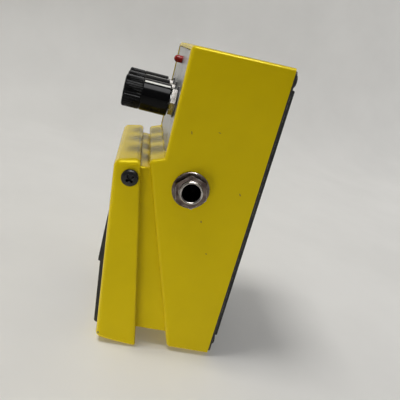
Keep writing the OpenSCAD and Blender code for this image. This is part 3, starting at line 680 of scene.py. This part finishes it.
def hinge_screw(flip):
    place = across_x(*HINGE, flip=flip)
    rings = [(0, 28.5), (1.3, 28.5), (1.5, 28.8), (1.5, 33), (2, 33), (2, 36.65), (3.2, 36.65), (3.35, 36.8),
             (3.35, 37.15), (3.2, 37.55), (2.85, 37.9), (2.3, 38.15), (1.5, 38.3), (0, 38.35)]
    screw = turned("hinge_screw", rings, 64, place, close=False)
    for turn in (45, 135):
        bm = bmesh.new()
        half, thick = 2.15, 0.62
        for z0, z1, shrink in ((36.7, 39.5, 0.62),):
            low = [bm.verts.new(Vector((x * half * shrink, y * thick * shrink, z0)) * MM)
                   for x, y in ((-1, -1), (1, -1), (1, 1), (-1, 1))]
            high = [bm.verts.new(Vector((x * half, y * thick, z1)) * MM)
                    for x, y in ((-1, -1), (1, -1), (1, 1), (-1, 1))]
            bm.faces.new(low)
            bm.faces.new(high)
            for i in range(4):
                bm.faces.new((low[i], low[(i + 1) % 4], high[(i + 1) % 4], high[i]))
        cut(screw, to_object("cross", bm, place @ Matrix.Rotation(math.radians(turn), 4, "Z")))
    return screw


piece(merged("hinge_screw_pair", hinge_screw(False), hinge_screw(True)), "case", M["screw"], "black_screw",
      "hinge_screws", angle=38)


def bushing(flip):
    rings = [(3.5, 28.8), (4.7, 28.8), (4.7, 38.5), (4.5, 38.66), (4.7, 38.82), (4.7, 38.95), (4.5, 39.1),
             (4.68, 39.28), (4.62, 39.5), (4.45, 39.7), (4.2, 39.8), (3.92, 39.72), (3.7, 39.5), (3.55, 39.1),
             (3.5, 38.6)]
    return turned("bushing", rings, 80, across_x(*JACK, flip=flip))


def jack_washer(flip):
    rings = [(4.7, 35.3), (7.3, 35.3), (7.4, 35.4), (7.4, 36.05), (7.25, 36.2), (4.7, 36.2)]
    return turned("washer", rings, 80, across_x(*JACK, flip=flip))


def jack_nut(flip):
    """A hex nut chamfered on both faces, with two of its corners towards the player and the back."""
    place = across_x(*JACK, flip=flip) @ Matrix.Rotation(math.radians(77 if flip else 103), 4, "Z")
    nut = turned("nut", [(0, 36.2), (6.95, 36.2), (6.95, 38.6), (0, 38.6)], 6, place, close=False)
    keep = turned("keep", [(0, 36.1), (6.5, 36.1), (7.1, 36.45), (7.1, 38.3), (6.45, 38.65), (0, 38.65)], 96, place,
                  close=False)
    solve(nut, keep, "INTERSECT")
    return cut(nut, rod("hole", 4.72, 30, 45, place, 64))


piece(merged("jack_bushing_pair", bushing(False), bushing(True)), "case", M["chrome"], "nickel", "jack_bushings")
piece(merged("jack_washer_pair", jack_washer(False), jack_washer(True)), "case", M["washer"], "nickel",
      "jack_washers")
piece(merged("jack_nut_pair", jack_nut(False), jack_nut(True)), "case", M["nut"], "nickel", "jack_nuts", angle=28)

# ---------------------------------------------------------------- base

rubber = block("base_sheet", -32, 9.5, -3, 32, 121, -1, 0.45, 3)
piece(rubber, "case", M["rubber"], "black_rubber", "base_rubber")

# ---------------------------------------------------------------- nodes kept from the CAD

KEPT = {
    "switch_actuator": "rubber", "thumbscrew_clip": "steel", "guide_bush": "brass", "guide_clip": "steel",
    "spring_seat": "nylon", "hinge_bushes": "nylon", "foot_switch": "plastic",
    "switch_plunger": "switch", "switch_board": "board", "switch_screws": "steel", "switch_leads": "wire",
    "battery": "battery", "battery_terminals": "nickel", "battery_snap": "plastic", "battery_leads": "wire",
    "main_board": "board", "board_screws": "steel", "electrolytic_capacitors": "sleeve",
    "film_capacitors": "film", "amplifier_chips": "plastic", "resistors": "resistor", "control_board": "board",
    "board_header": "brass", "pot_bodies": "steel", "pot_bushings": "steel", "shaft_left": "steel",
    "shaft_center": "steel", "shaft_right": "steel", "pot_washers": "plate", "pot_nuts": "nickel",
    "input_jack": "plastic", "output_jack": "plastic", "jack_contacts": "brass", "dc_jack": "plastic",
    "dc_pin": "nickel", "base_plate": "plate", "base_screws": "screw", "insulating_sheet": "nylon"}
for name, look in KEPT.items():
    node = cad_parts[name]
    node.data.materials.clear()
    node.data.materials.append(M[look])
    if name not in ("battery_leads", "switch_leads", "switch_plunger"):
        change = node.modifiers.new("edge", "BEVEL")
        change.width = 0.00012
        change.segments = 2
        change.limit_method = "ANGLE"
        change.angle_limit = math.radians(40)

# ---------------------------------------------------------------- stage, light and camera


def stage_sweep():
    """A floor against the pedal's front end that sweeps up into a wall behind it. It is seen from one side only."""
    along = Vector((-0.2957, 0, -0.9553))
    away = Vector((-0.9553, 0, 0.2957))
    start, radius = 0.34, 0.16
    line = [(-1.4, 0.0), (start, 0.0)]
    for i in range(1, 25):
        a = math.radians(90 * i / 24)
        line.append((start + radius * math.sin(a), radius * (1 - math.cos(a))))
    line.append((start + radius, 2.2))
    bm = bmesh.new()
    rows = [[bm.verts.new(away * d + along * s + Vector((0, h - 0.0646, 0.03))) for d, h in line] for s in (-2.2, 2.2)]
    for i in range(len(line) - 1):
        bm.faces.new((rows[0][i], rows[1][i], rows[1][i + 1], rows[0][i + 1]))
    mesh = bpy.data.meshes.new("stage_sweep")
    bm.to_mesh(mesh)
    bm.free()
    if mesh.polygons[0].normal.y < 0:
        mesh.flip_normals()
    mesh.polygons.foreach_set("use_smooth", [True] * len(mesh.polygons))
    sweep = bpy.data.objects.new("stage_sweep", mesh)
    collection.objects.link(sweep)
    s = Shader("stage_sweep", Roughness=0.7, Emission_Color=(1.0, 0.99, 0.97))
    s.set("Base Color", s.mix(s.span(s.noise(11.0, 4), 0.3, 0.7), (0.60, 0.595, 0.575), (0.65, 0.645, 0.625)))
    across = s.node("ShaderNodeSeparateXYZ", {"Vector": s.place}).outputs["Z"]
    # The sweep glows, from nothing at Z = 0.35 m up to 0.22 at Z = -0.45 m: painted light that brightens the backdrop's
    # -Z side.
    s.set("Emission Strength", s.span(across, 0.35, -0.45, 0.0, 0.22))
    clear = s.node("ShaderNodeBsdfTransparent").outputs[0]
    seen = s.node("ShaderNodeNewGeometry").outputs["Backfacing"]
    both = s.node("ShaderNodeMixShader", {0: seen, 1: s.bsdf.outputs[0], 2: clear})
    s.tree.links.new(both.outputs[0], s.tree.nodes["Material Output"].inputs["Surface"])
    mesh.materials.append(s.material)
    sweep.visible_shadow = False


stage_sweep()


def area_light(name, place, target, size, power, colour=(1, 1, 1)):
    lamp_data = bpy.data.lights.new(name, "AREA")
    lamp_data.shape = "SQUARE"
    lamp_data.size = size
    lamp_data.energy = power
    lamp_data.color = colour
    obj = bpy.data.objects.new(name, lamp_data)
    collection.objects.link(obj)
    obj.location = place
    obj.rotation_euler = (Vector(target) - Vector(place)).to_track_quat("-Z", "Y").to_euler()
    return obj


key = area_light("key", (0.085, 1.22, 0.51), (0, 0, 0.03), 0.36, 10.6, (1.0, 0.985, 0.96))
area_light("side_fill", (0.21, -0.15, 0.16), (0.03, -0.03, 0.03), 0.14, 0.19)
rim = area_light("rim", (0.36, 1.05, -0.2), (0, 0.02, 0.03), 0.8, 3.2)
corner_light = area_light("corner_light", (0.34, 1.03, 0.16), (0, 0.02, 0.05), 0.6, 7.9)
glint = area_light("glint", (0.30, 1.05, -0.17), (0, 0.02, 0.03), 0.11, 2.0)
key.visible_glossy = False
rim.visible_diffuse = glint.visible_diffuse = corner_light.visible_diffuse = False
area_light("top_fill", (0.0, 0.1, 0.75), (0, 0, 0.03), 0.6, 0.33)
area_light("front_fill", (0.0, -0.75, 0.35), (0, 0, 0.03), 0.6, 1.8)



def pale_room():
    """Soft light from all round, brighter from the back end's side."""
    world = bpy.data.worlds.new("pale_room")
    bpy.context.scene.world = world
    world.use_nodes = True
    tree = world.node_tree
    direction = tree.nodes.new("ShaderNodeTexCoord").outputs["Generated"]
    parts = tree.nodes.new("ShaderNodeSeparateXYZ")
    tree.links.new(direction, parts.inputs[0])
    ramp = tree.nodes.new("ShaderNodeValToRGB")
    ramp.color_ramp.elements[0].color = (0.105, 0.104, 0.103, 1)
    ramp.color_ramp.elements[1].color = (0.27, 0.268, 0.264, 1)
    shift = tree.nodes.new("ShaderNodeMapRange")
    for key, value in (("From Min", -0.35), ("From Max", 0.95)):
        shift.inputs[key].default_value = value
    tree.links.new(parts.outputs["Y"], shift.inputs["Value"])
    tree.links.new(shift.outputs[0], ramp.inputs[0])
    tree.links.new(ramp.outputs[0], tree.nodes["Background"].inputs[0])


pale_room()
bpy.context.scene.view_settings.view_transform = "Standard"

lens = bpy.data.cameras.new("camera")
lens.lens = 41.19
lens.sensor_width = 36.0
lens.clip_start = 0.01
camera = bpy.data.objects.new("camera", lens)
collection.objects.link(camera)
right, up = Vector((0.10061, 0.25455, -0.96181)), Vector((-0.33931, 0.91754, 0.20734))
ahead = Vector((-0.93528, -0.30549, -0.17868))
turn = Matrix((right, up, -ahead)).transposed()
camera.matrix_world = Matrix.Translation((0.20404, 0.06246, 0.05706)) @ turn.to_4x4()
bpy.context.scene.camera = camera
